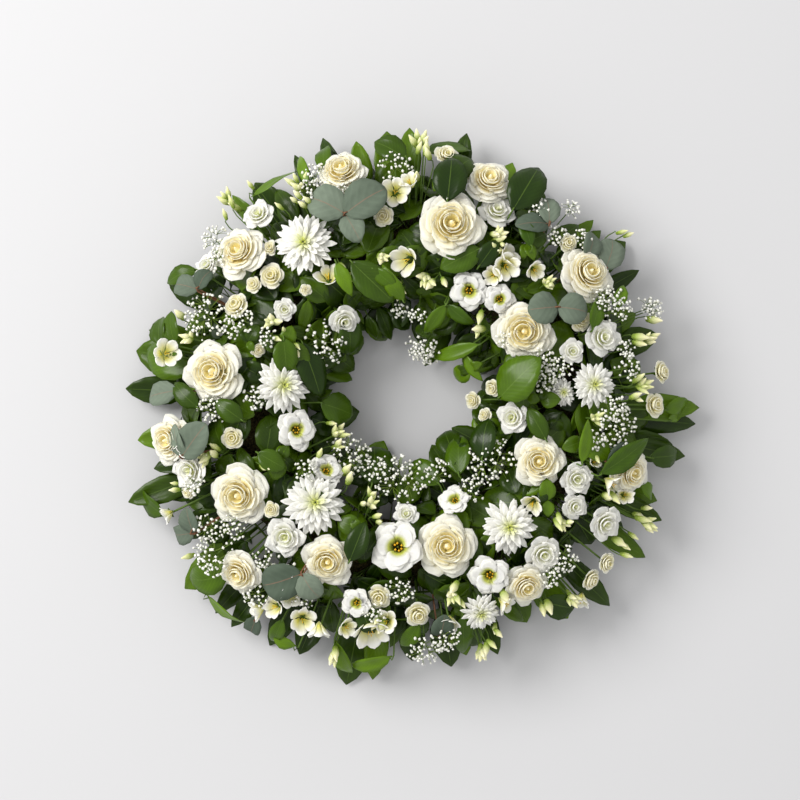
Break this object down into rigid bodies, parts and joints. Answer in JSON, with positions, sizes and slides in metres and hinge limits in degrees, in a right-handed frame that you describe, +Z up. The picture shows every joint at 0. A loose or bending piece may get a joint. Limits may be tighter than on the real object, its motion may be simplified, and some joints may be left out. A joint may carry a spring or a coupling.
{
  "type": "funeral wreath",
  "caption": "Round floral wreath lying flat, white and ivory blooms with filler and leaves set close on a moss-covered straw ring with an open middle.",
  "frame": {"origin": "middle of the whole outline, leaf tips included, on the surface that the straw ring rests on", "axes": "+Z up out of the wreath face, +Y towards the top of the wreath as it is shown, +X to the right"},
  "size_m": [0.603, 0.587, 0.1202],
  "materials": {
    "rose_petals": "soft matte ivory petals, warmer at the heart",
    "chrysanthemum_petals": "soft matte white petals, greenish at the heart",
    "lisianthus_petals": "soft matte white petals",
    "small_flower_petals": "soft matte cream petals",
    "gypsophila": "matte white florets on thin green stalks",
    "eucalyptus": "dull grey-green leaves",
    "leaf_green": "waxy dark green leaves",
    "moss": "rough brown-green moss",
    "straw": "rough dry straw"
  },
  "bodies": {
    "root": {"rose_01": "rose_petals", "rose_02": "rose_petals", "rose_03": "rose_petals", "rose_04": "rose_petals", "rose_05": "rose_petals", "rose_06": "rose_petals", "rose_07": "rose_petals", "rose_08": "rose_petals", "rose_09": "rose_petals", "rose_10": "rose_petals", "rose_11": "rose_petals", "rose_12": "rose_petals", "rose_13": "rose_petals", "rose_14": "rose_petals", "rose_15": "rose_petals", "chrysanthemum_01": "chrysanthemum_petals", "chrysanthemum_02": "chrysanthemum_petals", "chrysanthemum_03": "chrysanthemum_petals", "chrysanthemum_04": "chrysanthemum_petals", "chrysanthemum_05": "chrysanthemum_petals", "chrysanthemum_06": "chrysanthemum_petals", "chrysanthemum_07": "chrysanthemum_petals", "lisianthus_01": "lisianthus_petals", "lisianthus_02": "lisianthus_petals", "lisianthus_03": "lisianthus_petals", "lisianthus_04": "lisianthus_petals", "lisianthus_05": "lisianthus_petals", "lisianthus_06": "lisianthus_petals", "lisianthus_07": "lisianthus_petals", "lisianthus_08": "lisianthus_petals", "lisianthus_09": "lisianthus_petals", "lisianthus_10": "lisianthus_petals", "lisianthus_11": "lisianthus_petals", "small_flower_spray_01": "small_flower_petals", "small_flower_spray_02": "small_flower_petals", "small_flower_spray_03": "small_flower_petals", "small_flower_spray_04": "small_flower_petals", "small_flower_spray_05": "small_flower_petals", "small_flower_spray_06": "small_flower_petals", "gypsophila_spray_01": "gypsophila", "gypsophila_spray_02": "gypsophila", "gypsophila_spray_03": "gypsophila", "gypsophila_spray_04": "gypsophila", "greenery_sprig_01": "eucalyptus", "greenery_sprig_02": "eucalyptus", "greenery_sprig_03": "eucalyptus", "greenery_sprig_04": "eucalyptus", "outer_leaves_01": "leaf_green", "outer_leaves_02": "leaf_green", "outer_leaves_03": "leaf_green", "outer_leaves_04": "leaf_green", "outer_leaves_05": "leaf_green", "outer_leaves_06": "leaf_green", "inner_leaves_01": "leaf_green", "inner_leaves_02": "leaf_green", "inner_leaves_03": "leaf_green", "inner_leaves_04": "leaf_green", "moss_cover": "moss", "straw_ring": "straw"}
  },
  "joints": []
}
